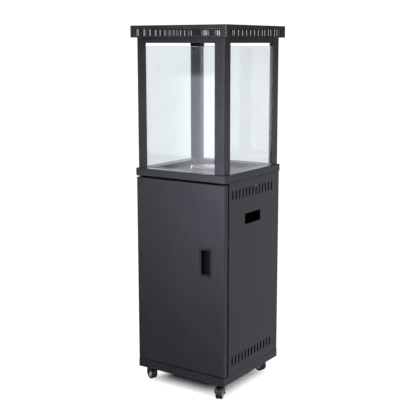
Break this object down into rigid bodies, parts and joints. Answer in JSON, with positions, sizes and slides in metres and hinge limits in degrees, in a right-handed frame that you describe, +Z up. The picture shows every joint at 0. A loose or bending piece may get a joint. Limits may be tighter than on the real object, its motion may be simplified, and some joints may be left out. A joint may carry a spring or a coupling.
{
  "type": "outdoor gas heater",
  "caption": "Square free-standing patio heater: gas-bottle cabinet with hinged door on swivel casters, glass flame chamber on corner posts, and a flat vented cap.",
  "frame": {"origin": "on the floor, under the centre of the cabinet", "axes": "+Z up, the door faces -Y, +X is to the right of someone facing the door"},
  "size_m": [0.424, 0.424, 1.393],
  "materials": {
    "black_coat": "satin black powder coat, finely textured",
    "glass": "clear toughened glass with a faint green edge",
    "black_plastic": "black moulded plastic",
    "stainless": "stainless sheet, heat tinted near the burner",
    "zinc_plate": "zinc plated or cast alloy",
    "brass": "turned brass",
    "copper": "drawn copper tube",
    "ceramic": "white electrical ceramic",
    "wire_insulation": "silicone sleeving",
    "caster_steel": "black painted pressed steel",
    "caster_tread": "black twin tread on a grey hub"
  },
  "bodies": {
    "cabinet": {"base_tray": "black_coat", "left_panel": "black_coat", "right_panel": "black_coat", "back_panel": "black_coat", "deck": "black_coat", "top_frame": "black_coat", "cap": "black_coat", "control_panel": "black_coat", "post_front_right": "black_coat", "post_front_left": "black_coat", "post_back_right": "black_coat", "post_back_left": "black_coat", "retainer_front_right": "black_coat", "retainer_front_left": "black_coat", "retainer_back_right": "black_coat", "retainer_back_left": "black_coat", "glass_front": "glass", "glass_back": "glass", "glass_left": "glass", "glass_right": "glass", "door_catch": "black_plastic", "igniter_body": "black_plastic", "tilt_switch": "black_plastic", "burner_tub": "stainless", "burner_base": "stainless", "burner_cap": "stainless", "heat_shield": "stainless", "pilot_bracket": "stainless", "thermocouple": "stainless", "lower_hinge": "zinc_plate", "upper_hinge": "zinc_plate", "gas_valve": "zinc_plate", "orifice": "brass", "inlet_fitting": "brass", "pilot_nozzle": "brass", "supply_tube": "copper", "pilot_tube": "copper", "thermocouple_lead": "copper", "electrode": "ceramic", "ignition_wire": "wire_insulation", "caster_plate_front_right": "caster_steel", "caster_plate_front_left": "caster_steel", "caster_plate_back_right": "caster_steel", "caster_plate_back_left": "caster_steel"},
    "door": {"door": "black_coat", "door_pull": "black_plastic"},
    "stem": {"valve_stem": "stainless"},
    "knob": {"control_knob": "black_plastic"},
    "button": {"igniter_button": "black_plastic"},
    "fork_front_right": {"caster_fork_front_right": "caster_steel"},
    "wheel_front_right": {"caster_wheel_front_right": "caster_tread"},
    "fork_front_left": {"caster_fork_front_left": "caster_steel"},
    "wheel_front_left": {"caster_wheel_front_left": "caster_tread"},
    "fork_back_right": {"caster_fork_back_right": "caster_steel"},
    "wheel_back_right": {"caster_wheel_back_right": "caster_tread"},
    "fork_back_left": {"caster_fork_back_left": "caster_steel"},
    "wheel_back_left": {"caster_wheel_back_left": "caster_tread"}
  },
  "joints": [
    {"name": "door_hinge", "type": "hinge", "parent": "cabinet", "child": "door", "pos_m": [-0.19, -0.188, 0.457], "axis": [0, 0, 1], "range_deg": [-110, 0]},
    {"name": "valve_push", "type": "slide", "parent": "cabinet", "child": "stem", "axis": [0, 1, 0], "range_m": [0, 0.003], "stiffness_N_per_m": 900, "springref_m": -0.001},
    {"name": "valve_turn", "type": "hinge", "parent": "stem", "child": "knob", "pos_m": [-0.04, -0.16, 0.781], "axis": [0, 1, 0], "range_deg": [0, 180]},
    {"name": "igniter_press", "type": "slide", "parent": "cabinet", "child": "button", "axis": [0, 1, 0], "range_m": [0, 0.006], "stiffness_N_per_m": 1200, "springref_m": -0.001},
    {"name": "swivel_front_right", "type": "hinge", "parent": "cabinet", "child": "fork_front_right", "pos_m": [0.159, -0.159, 0.054], "axis": [0, 0, 1], "continuous": true},
    {"name": "roll_front_right", "type": "hinge", "parent": "fork_front_right", "child": "wheel_front_right", "pos_m": [0.16499, -0.17383, 0.025], "axis": [0.9272, 0.3746, 0], "continuous": true},
    {"name": "swivel_front_left", "type": "hinge", "parent": "cabinet", "child": "fork_front_left", "pos_m": [-0.159, -0.159, 0.054], "axis": [0, 0, 1], "continuous": true},
    {"name": "roll_front_left", "type": "hinge", "parent": "fork_front_left", "child": "wheel_front_left", "pos_m": [-0.17338, -0.15199, 0.025], "axis": [-0.4384, -0.8988, 0], "continuous": true},
    {"name": "swivel_back_right", "type": "hinge", "parent": "cabinet", "child": "fork_back_right", "pos_m": [0.159, 0.159, 0.054], "axis": [0, 0, 1], "continuous": true},
    {"name": "roll_back_right", "type": "hinge", "parent": "fork_back_right", "child": "wheel_back_right", "pos_m": [0.14355, 0.16314, 0.025], "axis": [-0.2588, -0.9659, 0], "continuous": true},
    {"name": "swivel_back_left", "type": "hinge", "parent": "cabinet", "child": "fork_back_left", "pos_m": [-0.159, 0.159, 0.054], "axis": [0, 0, 1], "continuous": true},
    {"name": "roll_back_left", "type": "hinge", "parent": "fork_back_left", "child": "wheel_back_left", "pos_m": [-0.16178, 0.17476, 0.025], "axis": [-0.9848, -0.1736, 0], "continuous": true}
  ]
}
